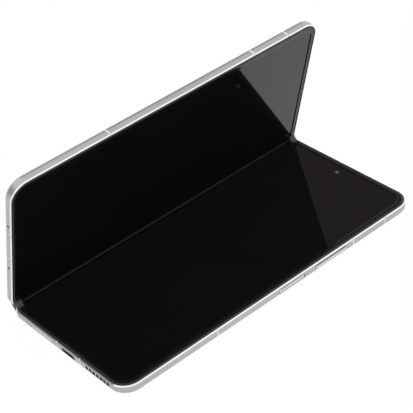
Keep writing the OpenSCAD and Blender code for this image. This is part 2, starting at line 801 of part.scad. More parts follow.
module friction_clips() color([0.4, 0.4, 0.42]) in_spine() both_ends() translate([0, unit_y + clip_y, 0])
    for (s = [-1, 1]) difference() {
        rod_y(s * timing_x, shaft_z, side_gap, side_gap + clip_w, gear_tip - 0.03);
        rod_y(s * timing_x, shaft_z, 0, clip_w + 1, shaft_r + 0.02);
        span([s * timing_x - clip_slot / 2, -1, shaft_z], [s * timing_x + clip_slot / 2, clip_w + 1, big]);
    }

flex_half_l = well_half_l - 0.1;
strip_w = bezel_w + 0.2;
film_half_l = flex_half_l - strip_w - 0.2;

module fold_panel() color([0.03, 0.03, 0.03]) in_spine()
    folded_layer(fold_zone - seat, panel_z0, panel_z1 - 0.02, -flex_half_l, flex_half_l);

module fold_film() color([0.05, 0.05, 0.05]) in_spine()
    folded_layer(fold_zone - seat, panel_z1, film_z1, -film_half_l, film_half_l);

// Soft bars that round the fold at its ends and fill the corner down to the panel
module fold_edge_strips() color([0.25, 0.25, 0.26]) in_spine() both_ends()
    run_y(flex_half_l - strip_w, flex_half_l) polygon(concat(
        fold_line(bezel_start - seat, half_t, strip_bend_r),
        reversed(fold_line(bezel_start - seat, panel_z1, layer_r(panel_z1)))));

module hinge_cable() color("peru") in_spine()
    folded_layer(well_x + 1, arm_z0 - cable_t / 2, arm_z0 + cable_t / 2, -cable_w / 2, cable_w / 2);

// Timing train
module timing_shaft(side, angle) both_ends() {
    gear_at(side * timing_x, unit_y + gear_y + side_gap, angle, side > 0 ? 0 : half_pitch);
    rod_y(side * timing_x, shaft_z, unit_y + gear_y - unit_wall + 0.3, unit_y + unit_l - 0.2, shaft_r);
}

module timing_lever(y) both_ends() difference() {
    union() {
        rod_y(timing_x, shaft_z, unit_y + y + side_gap, unit_y + y + side_gap + lever_w, gear_tip);
        span([timing_x, unit_y + y + side_gap, lever_z0],
            [lever_reach, unit_y + y + side_gap + lever_w, lever_z0 + lever_t]);
    }
    rod_y(timing_x, shaft_z, unit_y + y, unit_y + y + lever_w + 1, shaft_r + 0.01);
}

// Turns a piece that is drawn lying flat about its own shaft, so that it stays in line with its half
module with_half(side) turn_about(side * timing_x, shaft_z, -side * half_turn) children();

module base_timing_shafts() color([0.66, 0.66, 0.68]) in_spine() timing_shaft(1, -half_turn);

module base_timing_levers() color([0.6, 0.6, 0.62]) in_spine() with_half(1) timing_lever(lever_a);

module lid_timing_shafts() color([0.66, 0.66, 0.68]) in_spine() timing_shaft(-1, half_turn);

module lid_timing_levers() color([0.6, 0.6, 0.62]) in_spine() with_half(-1) mirror([1, 0, 0])
    timing_lever(lever_b);

module idler(side) both_ends() {
    gear_at(side * gear_r, unit_y + gear_y + side_gap, side * half_turn, side > 0 ? half_pitch : 0);
    rod_y(side * gear_r, shaft_z, unit_y + gear_y - unit_wall + 0.3, unit_y + lever_a - 0.3, idler_r);
}

module base_idler_gears() color([0.68, 0.66, 0.6]) in_spine() idler(1);

module lid_idler_gears() color([0.68, 0.66, 0.6]) in_spine() idler(-1);

// Lid half
module lid_frame() color("silver") in_lid() half_frame(lid_arm_y, lid_lever_y)
    for (x = mic_xs) rod_y(x, port_z, -half_l - 1, -half_l + rail_t + 1, mic_r);

module lid_antenna_breaks() color("whitesmoke") in_lid() half_breaks();

module cover_glass() color([0.04, 0.04, 0.05]) in_lid() half_glass();

module cover_display() color([0.02, 0.02, 0.02]) in_lid()
    slab(glass_t - seat, ledge_z1)
        plan(glass_inset + ledge_w + display_gap, glass_start + ledge_w + display_gap);

module cover_camera() color([0.1, 0.1, 0.12]) in_lid()
    disc(front_cam_x, cover_cam_y, part_z0, part_z1, cover_cam_r);

module lid_bezel() color([0.2, 0.2, 0.21]) in_lid() half_bezel();

module lid_display_panel() color([0.03, 0.03, 0.03]) in_lid()
    half_plate(panel_z0, panel_z1, panel_inset);

module lid_screen_film() color([0.05, 0.05, 0.05]) in_lid()
    half_plate(panel_z1, film_z1, film_inset);

module lid_support_plate() color([0.6, 0.6, 0.62]) in_lid()
    half_plate(web_z1, panel_z0, panel_inset + plate_step);

module lid_battery() color([0.25, 0.26, 0.28]) in_lid()
    span([part_x0, battery_y0, part_z0], [part_x1, lid_board_y0 - 1, part_z1]);

module lid_board() color("darkgreen") in_lid() difference() {
    span([part_x0, lid_board_y0, board_z0], [part_x1 - 2, board_y1, board_z1]);
    disc(front_cam_x, cover_cam_y, board_z0 - 1, board_z1 + 1, cover_cam_r + cam_room);
}

module earpiece() color([0.15, 0.15, 0.16]) in_lid()
    span([earpiece_x - earpiece_w / 2, board_y1 - earpiece_l, part_z0],
        [earpiece_x + earpiece_w / 2, board_y1, board_z0 - seat]);

module lid_magnets() color([0.55, 0.55, 0.57]) in_lid() magnet_row();

module lid_hinge_arms() color([0.62, 0.62, 0.64]) in_lid() both_ends() arm_at(lid_arm_y);

module lid_arm_screws() color([0.3, 0.3, 0.32]) in_lid() both_ends() screw_at(lid_arm_y + arm_w / 2);

// Keys and tray
module power_key() color("silver") in_base() {
    pill_x(power_y, key_z, power_l, key_h, key_x0, half_w - power_sink);
    for (s = [-1, 1]) translate([0, power_y + s * (power_l / 2 - 0.2), 0])
        span([key_x0, -key_stem_w / 2, key_z - 0.8], [inner_x1 - key_stem_gap, key_stem_w / 2, part_z1]);
}

module volume_key() color("silver") in_base() {
    pill_x(volume_y, key_z, volume_l, key_h, key_x0, half_w + volume_rise);
    span([key_x0, volume_y - key_stem_w / 2, part_z0],
        [inner_x1 - key_stem_gap, volume_y + key_stem_w / 2, key_z]);
}

module card_tray() color("silver") in_base() difference() {
    union() {
        pill_y(tray_x, tray_face_z, tray_l, tray_face_h, -half_l + 0.02, -half_l + rail_t);
        span([tray_x - tray_half, -half_l + 1, tray_z - tray_t / 2],
            [tray_x + tray_half, -half_l + rail_t + tray_d, tray_z + tray_t / 2]);
    }
    span([tray_x - tray_half + tray_rim, -half_l + rail_t + tray_rim, tray_z - tray_t / 2 + 0.2],
        [tray_x + tray_half - tray_rim, -half_l + rail_t + tray_d - tray_rim, big]);
    rod_y(eject_x, tray_face_z, -half_l - 1, -half_l + 1.2, eject_r);
}

base_frame();
base_antenna_breaks();
back_glass();
camera_island();
camera_windows();
camera_modules();
flash_window();
base_bezel();
base_display_panel();
base_screen_film();
base_support_plate();
base_battery();
main_board();
board_shields();
lower_board();
socket_sleeve();
socket_tongue();
loudspeaker();
vibration_motor();
card_reader();
key_switches();
front_camera();
base_magnets();
base_hinge_arms();
base_arm_screws();
spine_cover();
hinge_blocks();
friction_clips();
fold_panel();
fold_film();
fold_edge_strips();
hinge_cable();
base_timing_shafts();
base_timing_levers();
lid_timing_shafts();
lid_timing_levers();
base_idler_gears();
lid_idler_gears();
lid_frame();
lid_antenna_breaks();
cover_glass();
cover_display();
cover_camera();
lid_bezel();
lid_display_panel();
lid_screen_film();
lid_support_plate();
lid_battery();
lid_board();
earpiece();
lid_magnets();
lid_hinge_arms();
lid_arm_screws();
power_key();
volume_key();
card_tray();
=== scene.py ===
import json
import math

import bmesh
import bpy
from mathutils import Matrix, Vector
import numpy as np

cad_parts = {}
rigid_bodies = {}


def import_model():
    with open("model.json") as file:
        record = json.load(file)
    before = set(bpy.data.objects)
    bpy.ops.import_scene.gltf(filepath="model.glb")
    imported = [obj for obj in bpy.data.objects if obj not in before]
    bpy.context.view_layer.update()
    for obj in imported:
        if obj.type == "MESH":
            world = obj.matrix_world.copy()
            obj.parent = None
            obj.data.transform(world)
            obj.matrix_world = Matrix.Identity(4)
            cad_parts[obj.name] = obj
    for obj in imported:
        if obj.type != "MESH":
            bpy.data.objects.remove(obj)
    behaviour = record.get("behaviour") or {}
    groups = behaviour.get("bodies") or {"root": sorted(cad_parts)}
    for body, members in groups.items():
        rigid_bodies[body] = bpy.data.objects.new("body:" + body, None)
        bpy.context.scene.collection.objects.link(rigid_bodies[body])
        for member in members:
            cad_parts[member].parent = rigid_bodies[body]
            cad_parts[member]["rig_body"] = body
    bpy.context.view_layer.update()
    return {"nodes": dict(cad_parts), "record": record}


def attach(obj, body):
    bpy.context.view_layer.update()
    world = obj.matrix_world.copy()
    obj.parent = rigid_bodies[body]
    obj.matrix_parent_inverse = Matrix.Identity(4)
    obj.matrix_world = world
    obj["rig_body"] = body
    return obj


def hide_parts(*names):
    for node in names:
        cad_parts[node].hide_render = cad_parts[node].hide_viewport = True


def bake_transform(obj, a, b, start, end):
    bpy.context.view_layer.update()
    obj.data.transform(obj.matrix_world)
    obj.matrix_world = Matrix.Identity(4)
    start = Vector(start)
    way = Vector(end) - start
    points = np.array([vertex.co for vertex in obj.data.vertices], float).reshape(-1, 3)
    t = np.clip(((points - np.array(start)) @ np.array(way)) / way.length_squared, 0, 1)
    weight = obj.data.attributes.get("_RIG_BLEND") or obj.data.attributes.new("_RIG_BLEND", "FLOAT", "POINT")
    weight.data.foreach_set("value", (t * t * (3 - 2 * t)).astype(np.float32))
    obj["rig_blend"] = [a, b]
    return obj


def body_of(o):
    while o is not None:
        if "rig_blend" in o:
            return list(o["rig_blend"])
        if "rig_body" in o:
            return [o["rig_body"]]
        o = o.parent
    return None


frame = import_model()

nodes = frame["nodes"]
mm = 0.001
print("frame loaded:", len(nodes), "nodes")

# Lengths in mm on one half: x out from the fold line, z up from its back. Angles in degrees
phone = {
    "halfWidth": 72.7,
    "halfLength": 78.35,
    "cornerRadius": 8.0,
    "hingeRadius": 4.6,   # corners beside the hinge
    "axisOffset": 1.3,
    "axisHeight": 3.25,
    "halfTurn": 54.0,     # from each half to the spine at rest
}


def turnAbout(x, z, degrees):
    pivot = Matrix.Translation((x, 0, z))
    return pivot @ Matrix.Rotation(math.radians(degrees), 4, "Y") @ pivot.inverted()


baseSpot = Matrix.Scale(mm, 4) @ Matrix.Translation((-phone["halfWidth"] / 2, 0, 0))
spineSpot = baseSpot @ turnAbout(phone["axisOffset"], phone["axisHeight"], phone["halfTurn"])
lidSpot = (spineSpot @ turnAbout(-phone["axisOffset"], phone["axisHeight"], phone["halfTurn"])
           @ Matrix.Diagonal((-1, 1, 1, 1)))
spots = {"base": baseSpot, "spine": spineSpot, "lid": lidSpot}


# Camera
view = {
    "azimuth": 53.65, "elevation": 36.02, "roll": -8.03,   # degrees, from the fold line
    "distance": 598.04, "shiftRight": 21.31, "shiftUp": -8.5, "aimHeight": 20.55,
    "lens": 124.22, "sensor": 36.0, "clip": (10.0, 20000.0),
}


def makeCamera():
    azimuth, elevation, roll = (math.radians(view[key]) for key in ("azimuth", "elevation", "roll"))
    back = Vector((math.sin(azimuth) * math.cos(elevation),
                   -math.cos(azimuth) * math.cos(elevation), math.sin(elevation)))
    level = Vector((math.cos(azimuth), math.sin(azimuth), 0))
    upright = back.cross(level)
    right = level * math.cos(roll) + upright * math.sin(roll)
    up = upright * math.cos(roll) - level * math.sin(roll)
    eye = (Vector((-phone["halfWidth"] / 2, 0, view["aimHeight"])) + back * view["distance"]
           + right * view["shiftRight"] + up * view["shiftUp"]) * mm
    data = bpy.data.cameras.new("photoCamera")
    data.lens, data.sensor_width = view["lens"], view["sensor"]
    data.clip_start, data.clip_end = (distance * mm for distance in view["clip"])
    camera = bpy.data.objects.new("photoCamera", data)
    camera.matrix_world = Matrix((
        (right.x, up.x, back.x, eye.x), (right.y, up.y, back.y, eye.y),
        (right.z, up.z, back.z, eye.z), (0, 0, 0, 1)))
    bpy.context.scene.collection.objects.link(camera)
    bpy.context.scene.camera = camera


makeCamera()
print("camera set")


# Node helpers
def joinNodes(tree, source, target):
    tree.links.new(source, target)


def addNode(tree, kind, values=None, **options):
    node = tree.nodes.new(kind)
    for key, value in options.items():
        setattr(node, key, value)
    for key, value in (values or {}).items():
        if isinstance(value, bpy.types.NodeSocket):
            joinNodes(tree, value, node.inputs[key])
        else:
            node.inputs[key].default_value = value
    return node


def addMath(tree, operation, *values):
    return addNode(tree, "ShaderNodeMath", dict(enumerate(values)), operation=operation).outputs[0]


def addVector(tree, **parts):
    return addNode(tree, "ShaderNodeCombineXYZ", parts).outputs[0]


def mapped(tree, fromLow, fromHigh, toLow, toHigh, value):
    return addNode(tree, "ShaderNodeMapRange", {
        "Value": value, "From Min": fromLow, "From Max": fromHigh,
        "To Min": toLow, "To Max": toHigh}).outputs["Result"]


# Noise in every finish: broad patches for the colour, fine grain for roughness and bump
grain = {"patchScale": 25.0, "patchDetail": 2.0, "fineDetail": 3.0, "noiseRough": 0.55,
         "colourRange": (0.35, 0.65), "roughRange": (0.3, 0.7)}


def grainNoise(tree, scale, detail, stretch=(1, 1, 1)):
    spot = addNode(tree, "ShaderNodeTexCoord").outputs["Object"]
    spot = addNode(tree, "ShaderNodeMapping", {"Vector": spot, "Scale": stretch}).outputs["Vector"]
    return addNode(tree, "ShaderNodeTexNoise", {
        "Vector": spot, "Scale": scale, "Detail": detail,
        "Roughness": grain["noiseRough"]}).outputs["Fac"]


def blendColour(tree, factor, first, second):
    mix = addNode(tree, "ShaderNodeMix", data_type="RGBA")
    joinNodes(tree, factor, mix.inputs[0])
    for socket, colour in ((mix.inputs[6], first), (mix.inputs[7], second)):
        socket.default_value = (*colour, 1)
    return mix.outputs[2]


# One finish: two close colours and a range of roughness, both driven by noise, with fine bump
def makeFinish(name, dark, light, rough, scale, bump, metal=0.0, stretch=(1, 1, 1),
               depth=0.01, ior=1.5, coat=0.0, coatRough=0.1):
    material = bpy.data.materials.new(name)
    material.use_nodes = True
    tree = material.node_tree
    tree.nodes.clear()
    shader = addNode(tree, "ShaderNodeBsdfPrincipled", {
        "Metallic": metal, "IOR": ior, "Coat Weight": coat, "Coat Roughness": coatRough})
    broad = grainNoise(tree, grain["patchScale"], grain["patchDetail"])
    fine = grainNoise(tree, scale, grain["fineDetail"], stretch)
    share = mapped(tree, *grain["colourRange"], 0, 1, broad)
    joinNodes(tree, blendColour(tree, share, dark, light), shader.inputs["Base Color"])
    joinNodes(tree, mapped(tree, *grain["roughRange"], *rough, fine), shader.inputs["Roughness"])
    relief = addNode(tree, "ShaderNodeBump", {
        "Height": fine, "Strength": bump, "Distance": depth * mm})
    joinNodes(tree, relief.outputs["Normal"], shader.inputs["Normal"])
    output = addNode(tree, "ShaderNodeOutputMaterial")
    joinNodes(tree, shader.outputs["BSDF"], output.inputs["Surface"])
    return material


finishes = {
    "satinRail": dict(dark=(0.50, 0.505, 0.51), light=(0.56, 0.565, 0.57), metal=1.0,
                      rough=(0.30, 0.38), scale=2600, bump=0.12, depth=0.008),
    "polishedRim": dict(dark=(0.96, 0.96, 0.96), light=(0.985, 0.985, 0.985), metal=1.0,
                        rough=(0.08, 0.12), scale=1500, bump=0.04, depth=0.004),
    # Darker metal for the frame's inside faces: painted shade
    "shadedInside": dict(dark=(0.30, 0.30, 0.31), light=(0.40, 0.40, 0.41), metal=1.0,
                       rough=(0.45, 0.6), scale=1800, bump=0.3, depth=0.02),
    "antennaPlastic": dict(dark=(0.78, 0.78, 0.775), light=(0.84, 0.84, 0.83),
                           rough=(0.35, 0.5), scale=2000, bump=0.08),
    "frostedBack": dict(dark=(0.56, 0.57, 0.585), light=(0.60, 0.61, 0.62), metal=0.35,
                        rough=(0.28, 0.36), scale=4000, bump=0.06, coat=0.25, coatRough=0.3),
    "coverGlass": dict(dark=(0.004, 0.004, 0.005), light=(0.006, 0.006, 0.007),
                       rough=(0.03, 0.05), scale=200, bump=0.01),
    "lensGlass": dict(dark=(0.004, 0.005, 0.008), light=(0.008, 0.008, 0.014),
                      rough=(0.02, 0.04), scale=200, bump=0.01, coat=1.0, coatRough=0.02),
    "flashLens": dict(dark=(0.78, 0.74, 0.60), light=(0.85, 0.82, 0.70),
                      rough=(0.15, 0.25), scale=900, bump=0.2),
    # The lid's half of the same screen film, painted a little lighter: painted light
    "lidFilmPaintedLighter": dict(dark=(0.0030, 0.0033, 0.0034), light=(0.0040, 0.0043, 0.0044),
                    rough=(0.030, 0.045), scale=120, bump=0.01),
    "screenFilm": dict(dark=(0.0016, 0.0018, 0.0019), light=(0.0023, 0.0025, 0.0026),
                       rough=(0.030, 0.045), scale=120, bump=0.01),
    "creaseFilm": dict(dark=(0.0016, 0.0018, 0.0019), light=(0.0023, 0.0025, 0.0026), ior=1.31,
                       rough=(0.26, 0.32), scale=120, bump=0.01),
    "panelLayers": dict(dark=(0.006, 0.006, 0.006), light=(0.012, 0.012, 0.012),
                        rough=(0.3, 0.45), scale=700, bump=0.05),
    "bezelRing": dict(dark=(0.0065, 0.0065, 0.0068), light=(0.0085, 0.0085, 0.0088),
                      rough=(0.09, 0.13), scale=1500, bump=0.03),
    "bezelRubber": dict(dark=(0.032, 0.032, 0.034), light=(0.042, 0.042, 0.044),
                        rough=(0.42, 0.52), scale=1500, bump=0.12),
    # Near-black for opening walls, hole countersinks and the eject hole: painted shade
    "portShade": dict(dark=(0.0015, 0.0015, 0.0015), light=(0.003, 0.003, 0.003), ior=1.2,
                      rough=(0.7, 0.85), scale=1800, bump=0.2),
    "keyMetal": dict(dark=(0.66, 0.665, 0.67), light=(0.73, 0.735, 0.74), metal=1.0,
                     rough=(0.26, 0.34), scale=2600, bump=0.1, depth=0.006),
    # Dark metal for the keys' top and near-end bevels: painted shade
    "keyShade": dict(dark=(0.10, 0.10, 0.10), light=(0.15, 0.15, 0.15), metal=1.0,
                     rough=(0.4, 0.5), scale=2600, bump=0.1, depth=0.006),
    "ringMetal": dict(dark=(0.60, 0.60, 0.61), light=(0.70, 0.70, 0.71), metal=1.0,
                      rough=(0.14, 0.22), scale=2200, bump=0.06, depth=0.004),
    "contactGold": dict(dark=(0.80, 0.56, 0.24), light=(0.88, 0.64, 0.30), metal=1.0,
                        rough=(0.2, 0.32), scale=1800, bump=0.08),
    "meshSteel": dict(dark=(0.010, 0.010, 0.011), light=(0.018, 0.018, 0.019), metal=0.6,
                      rough=(0.4, 0.55), scale=2500, bump=0.1),
    "domeGlass": dict(dark=(0.010, 0.014, 0.030), light=(0.020, 0.024, 0.055),
                      rough=(0.02, 0.04), scale=200, bump=0.01, coat=1.0, coatRough=0.02),
    "foldStrip": dict(dark=(0.050, 0.050, 0.052), light=(0.065, 0.065, 0.068),
                      rough=(0.5, 0.62), scale=1500, bump=0.12),
    "supportSteel": dict(dark=(0.48, 0.48, 0.50), light=(0.56, 0.56, 0.58), metal=1.0,
                         rough=(0.25, 0.4), scale=900, stretch=(1, 12, 1), bump=0.1),
    "hingeSteel": dict(dark=(0.34, 0.34, 0.35), light=(0.44, 0.44, 0.45), metal=1.0,
                       rough=(0.28, 0.42), scale=1600, bump=0.15),
    "spineMetal": dict(dark=(0.52, 0.525, 0.53), light=(0.57, 0.575, 0.58), metal=1.0,
                       rough=(0.26, 0.34), scale=2600, stretch=(1, 0.04, 1), bump=0.1),
    "screwSteel": dict(dark=(0.20, 0.20, 0.21), light=(0.30, 0.30, 0.31), metal=1.0,
                       rough=(0.3, 0.45), scale=2000, bump=0.1),
    "gearSteel": dict(dark=(0.46, 0.44, 0.40), light=(0.56, 0.54, 0.50), metal=1.0,
                      rough=(0.25, 0.4), scale=2500, bump=0.2),
    "cellPouch": dict(dark=(0.05, 0.052, 0.056), light=(0.075, 0.078, 0.082), metal=0.4,
                      rough=(0.35, 0.5), scale=350, bump=0.35, depth=0.05),
    "boardGreen": dict(dark=(0.008, 0.055, 0.025), light=(0.012, 0.085, 0.038),
                       rough=(0.3, 0.45), scale=900, stretch=(1, 3, 1), bump=0.4, depth=0.03),
    "shieldTin": dict(dark=(0.55, 0.55, 0.56), light=(0.62, 0.62, 0.63), metal=1.0,
                      rough=(0.3, 0.42), scale=900, stretch=(6, 1, 1), bump=0.1),
    "moduleBlack": dict(dark=(0.014, 0.014, 0.015), light=(0.024, 0.024, 0.025),
                        rough=(0.4, 0.55), scale=1500, bump=0.15),
    "moduleGrey": dict(dark=(0.42, 0.42, 0.43), light=(0.50, 0.50, 0.51), metal=0.8,
                       rough=(0.3, 0.45), scale=1500, bump=0.1),
    "magnetNickel": dict(dark=(0.50, 0.49, 0.47), light=(0.58, 0.57, 0.55), metal=1.0,
                         rough=(0.18, 0.3), scale=1200, bump=0.08),
    "cableFilm": dict(dark=(0.30, 0.13, 0.035), light=(0.42, 0.19, 0.05),
                      rough=(0.25, 0.4), scale=800, stretch=(1, 10, 1), bump=0.2, depth=0.02),
}
finish = {name: makeFinish(name, **look) for name, look in finishes.items()}
slotFinish = {
    "metal_frame": "satinRail", "metal_trim": "satinRail", "break_plastic": "antennaPlastic",
    "back_pane": "frostedBack", "cover_pane": "coverGlass", "lens_glass": "lensGlass",
    "flash_lens": "flashLens", "screen": "screenFilm", "panel_layers": "panelLayers",
    "bezel": "bezelRubber", "fold_strip": "foldStrip", "steel_plate": "supportSteel",
    "hinge_steel": "hingeSteel", "screw_steel": "screwSteel", "gear_steel": "gearSteel",
    "cell_pouch": "cellPouch", "board": "boardGreen", "shield": "shieldTin",
    "module_black": "moduleBlack", "module_grey": "moduleGrey", "magnet": "magnetNickel",
    "cable_film": "cableFilm",
}
print("finishes made:", len(finish))

partSlots = {part["node"]: part["material_slot"] for part in frame["record"]["subparts"]}
for name, node in nodes.items():
    node.data.materials.clear()
    node.data.materials.append(finish[slotFinish[partSlots[name]]])


# Floor, world and lamps
studio = {
    "floorHeight": -2.02, "floorSize": 3000.0, "floorColour": (0.86, 0.86, 0.86),
    "seenShare": 0.985, "mirrorShare": 0.62, "ambient": 0.34,
    "flagTint": (1.1, 0.96, 0.88),   # on the first flag
    # dark areas for polished surfaces: direction, cosine at the edge and where it is full, tone
    "flags": (
        {"aim": (-0.652, 0.479, 0.588), "edge": 0.935, "full": 0.97, "tone": 0.19},
        {"aim": (0.36, 0.45, 0.82), "edge": 0.92, "full": 0.965, "tone": 0.19},
        {"aim": (-0.64, -0.70, 0.31), "edge": 0.90, "full": 0.96, "tone": 0.29}),
}


def clearRays(tree, rays):
    return addMath(tree, "MAXIMUM", rays["Is Camera Ray"], rays["Is Transmission Ray"])


def makeFloor():
    bm = bmesh.new()
    half = studio["floorSize"] / 2
    corners = [bm.verts.new((x * half * mm, y * half * mm, studio["floorHeight"] * mm))
               for x, y in ((-1, -1), (1, -1), (1, 1), (-1, 1))]
    bm.faces.new(corners)
    data = bpy.data.meshes.new("floor")
    bm.to_mesh(data)
    bm.free()
    floor = bpy.data.objects.new("floor", data)
    bpy.context.scene.collection.objects.link(floor)
    material = bpy.data.materials.new("floorPaper")
    material.use_nodes = True
    tree = material.node_tree
    tree.nodes.clear()
    paper = addNode(tree, "ShaderNodeBsdfDiffuse", {"Color": (*studio["floorColour"], 1)})
    glow = addNode(tree, "ShaderNodeEmission", {"Strength": 1.0})
    rays = addNode(tree, "ShaderNodeLightPath").outputs
    seen = addMath(tree, "MULTIPLY", clearRays(tree, rays), studio["seenShare"])
    share = addMath(tree, "MULTIPLY_ADD", rays["Is Glossy Ray"], studio["mirrorShare"], seen)
    both = addNode(tree, "ShaderNodeMixShader", {
        0: share, 1: paper.outputs[0], 2: glow.outputs[0]})
    output = addNode(tree, "ShaderNodeOutputMaterial")
    joinNodes(tree, both.outputs[0], output.inputs["Surface"])
    data.materials.append(material)


# Value of a flag: low outside it, high inside
def flagValue(tree, direction, flag, low, high):
    dot = addNode(tree, "ShaderNodeVectorMath", {
        0: direction, 1: Vector(flag["aim"]).normalized()}, operation="DOT_PRODUCT")
    return mapped(tree, flag["edge"], flag["full"], low, high, dot.outputs["Value"])


def makeWorld():
    world = bpy.data.worlds.new("studio")
    world.use_nodes = True
    bpy.context.scene.world = world
    tree = world.node_tree
    tree.nodes.clear()
    rays = addNode(tree, "ShaderNodeLightPath").outputs
    direction = addNode(tree, "ShaderNodeTexCoord").outputs["Generated"]
    mirror = 1.0
    for flag in studio["flags"]:
        mirror = addMath(tree, "MINIMUM", mirror,
                         flagValue(tree, direction, flag, 1.0, flag["tone"]))
    tint = blendColour(tree, flagValue(tree, direction, studio["flags"][0], 0, 1), (1, 1, 1),
                       studio["flagTint"])
    tone = addNode(tree, "ShaderNodeMix", {
        0: rays["Is Glossy Ray"], 2: studio["ambient"], 3: mirror})
    back = addNode(tree, "ShaderNodeBackground", {
        "Color": tint,
        "Strength": addMath(tree, "MAXIMUM", tone.outputs[0], clearRays(tree, rays))})
    output = addNode(tree, "ShaderNodeOutputWorld")
    joinNodes(tree, back.outputs[0], output.inputs["Surface"])


lamps = {
    "overhead": {"spot": (-60, 150, 900), "size": (1000, 1000), "power": 4.2},
    "rightPanel": {"spot": (800, 350, 420), "size": (700, 500), "power": 3.2},
    "frontPanel": {"spot": (150, -900, 500), "size": (800, 500), "power": 1.8},
}


def makeLamps():
    for name, lamp in lamps.items():
        data = bpy.data.lights.new(name, "AREA")
        data.shape = "RECTANGLE"
        data.size, data.size_y = (side * mm for side in lamp["size"])
        data.energy = lamp["power"]
        item = bpy.data.objects.new(name, data)
        item.location = Vector(lamp["spot"]) * mm
        item.rotation_euler = (-item.location).to_track_quat("-Z", "Y").to_euler()
        item.visible_glossy = False
        bpy.context.scene.collection.objects.link(item)


makeFloor()
makeWorld()
makeLamps()
bpy.context.scene.view_settings.view_transform = "Standard"
print("studio built")


# Shared mesh helpers
merge = {"distance": 0.002, "flatAngle": 0.4}   # points closer merge, flatter edges dissolve


def finishMesh(name, bm, looks, body, replaced=(), smoothAngle=30.0):
    bmesh.ops.recalc_face_normals(bm, faces=bm.faces)
    limit = math.radians(smoothAngle)
    for edge in bm.edges:
        edge.smooth = len(edge.link_faces) == 2 and edge.calc_face_angle(0) < limit
    for face in bm.faces:
        face.smooth = True
    data = bpy.data.meshes.new(name)
    bm.to_mesh(data)
    bm.free()
    for look in looks:
        data.materials.append(finish[look])
    piece = bpy.data.objects.new(name, data)
    bpy.context.scene.collection.objects.link(piece)
    if body:
        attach(piece, body)
    if replaced:
        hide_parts(*replaced)
    return piece


def mergedCopy(nodeName):
    bm = bmesh.new()
    bm.from_mesh(nodes[nodeName].data)
    bmesh.ops.remove_doubles(bm, verts=bm.verts, dist=merge["distance"] * mm)
    bmesh.ops.dissolve_limit(bm, angle_limit=math.radians(merge["flatAngle"]),
                             verts=bm.verts, edges=bm.edges)
    for face in bm.faces:
        face.material_index = 0
    return bm


def bevelEdges(bm, edges, width, segments, clamp=True):
    bmesh.ops.bevel(bm, geom=edges, offset=width * mm, segments=segments, profile=0.5,
                    affect="EDGES", clamp_overlap=clamp)


def paintFaces(bm, toHalf, paint):
    turned = toHalf.to_3x3()
    for face in bm.faces:
        face.material_index = paint(toHalf @ face.calc_center_median(),
                                    (turned @ face.normal).normalized())


def circle(cx, cy, radius, steps):
    return [(cx + radius * math.cos(i * math.tau / steps),
             cy + radius * math.sin(i * math.tau / steps)) for i in range(steps)]


# Closed tube through rows of points, capped at both ends. looks gives each face's look
def skinRows(bm, rows, looks, startLook=0):
    for i, first in enumerate(rows):
        second = rows[(i + 1) % len(rows)]
        for j in range(len(first) - 1):
            face = bm.faces.new((first[j], first[j + 1], second[j + 1], second[j]))
            face.material_index = looks(i, j)
    bm.faces.new([row[0] for row in rows]).material_index = startLook
    bm.faces.new([row[-1] for row in rows][::-1])


# Metal frames: satin rails, bright rims, inside faces painted darker and opening walls and hole countersinks
# painted black, as painted shade
rim = {"softEdge": 0.03, "softSegments": 2, "softAngle": 30.0, "smoothAngle": 24.0,
       "bevelLow": 3.9, "slant": 0.3, "backRadius": 2.0, "insideLow": 0.6,
       "shadeDepth": 0.12, "shadeEnd": 1.65, "socketX": (33.2, 42.8)}
# Rows of round holes in the short edge, with countersinks "tall" times as high as wide
holes = {
    "base": {"first": 50.1, "pitch": 2.2, "count": 7, "level": 2.75, "radius": 0.55,
             "sink": 0.22, "tall": 1.15},
    "lid": {"first": 25.0, "pitch": 25.4, "count": 2, "level": 2.75, "radius": 0.4,
            "sink": 0.16, "tall": 1.1},
}
# How near an edge, a sunk edge and the outer face count, and which faces get the painted shade
holeFit = {"edge": 0.02, "sunk": 0.03, "face": 0.01, "segments": 2, "shadeReach": 1.6,
           "shadeTurn": -0.97}


def onShortEdge(spot):
    return spot.y < -phone["halfLength"] + holeFit["face"]


def nearHole(row, spot):
    if spot.y > -phone["halfLength"] + row["sink"] + holeFit["sunk"]:
        return math.inf
    return min(math.hypot(spot.x - row["first"] - row["pitch"] * i, spot.z - row["level"])
               for i in range(row["count"]))


def sinkHoles(bm, row, toHalf):
    def atRadius(vert, radius, near):
        spot = toHalf @ vert.co
        return abs(nearHole(row, spot) - radius) < near and onShortEdge(spot)

    edges = [edge for edge in bm.edges if all(
        atRadius(vert, row["radius"], holeFit["edge"]) for vert in edge.verts)]
    bevelEdges(bm, edges, row["sink"], holeFit["segments"], clamp=False)
    for vert in bm.verts:
        if atRadius(vert, row["radius"] + row["sink"], holeFit["sunk"]):
            spot = toHalf @ vert.co
            spot.z = row["level"] + (spot.z - row["level"]) * row["tall"]
            vert.co = toHalf.inverted() @ spot


# Depth of a point under the rails' outer surface
def railDepth(spot):
    depth = phone["cornerRadius"] - math.hypot(
        max(spot.x - phone["halfWidth"] + phone["cornerRadius"], 0),
        max(abs(spot.y) - phone["halfLength"] + phone["cornerRadius"], 0))
    if spot.x < phone["hingeRadius"]:
        depth = phone["hingeRadius"] - math.hypot(
            phone["hingeRadius"] - spot.x,
            max(abs(spot.y) - phone["halfLength"] + phone["hingeRadius"], 0))
    low = max(rim["backRadius"] - spot.z, 0)
    return depth - rim["backRadius"] + math.sqrt(max(rim["backRadius"] ** 2 - low ** 2, 0))


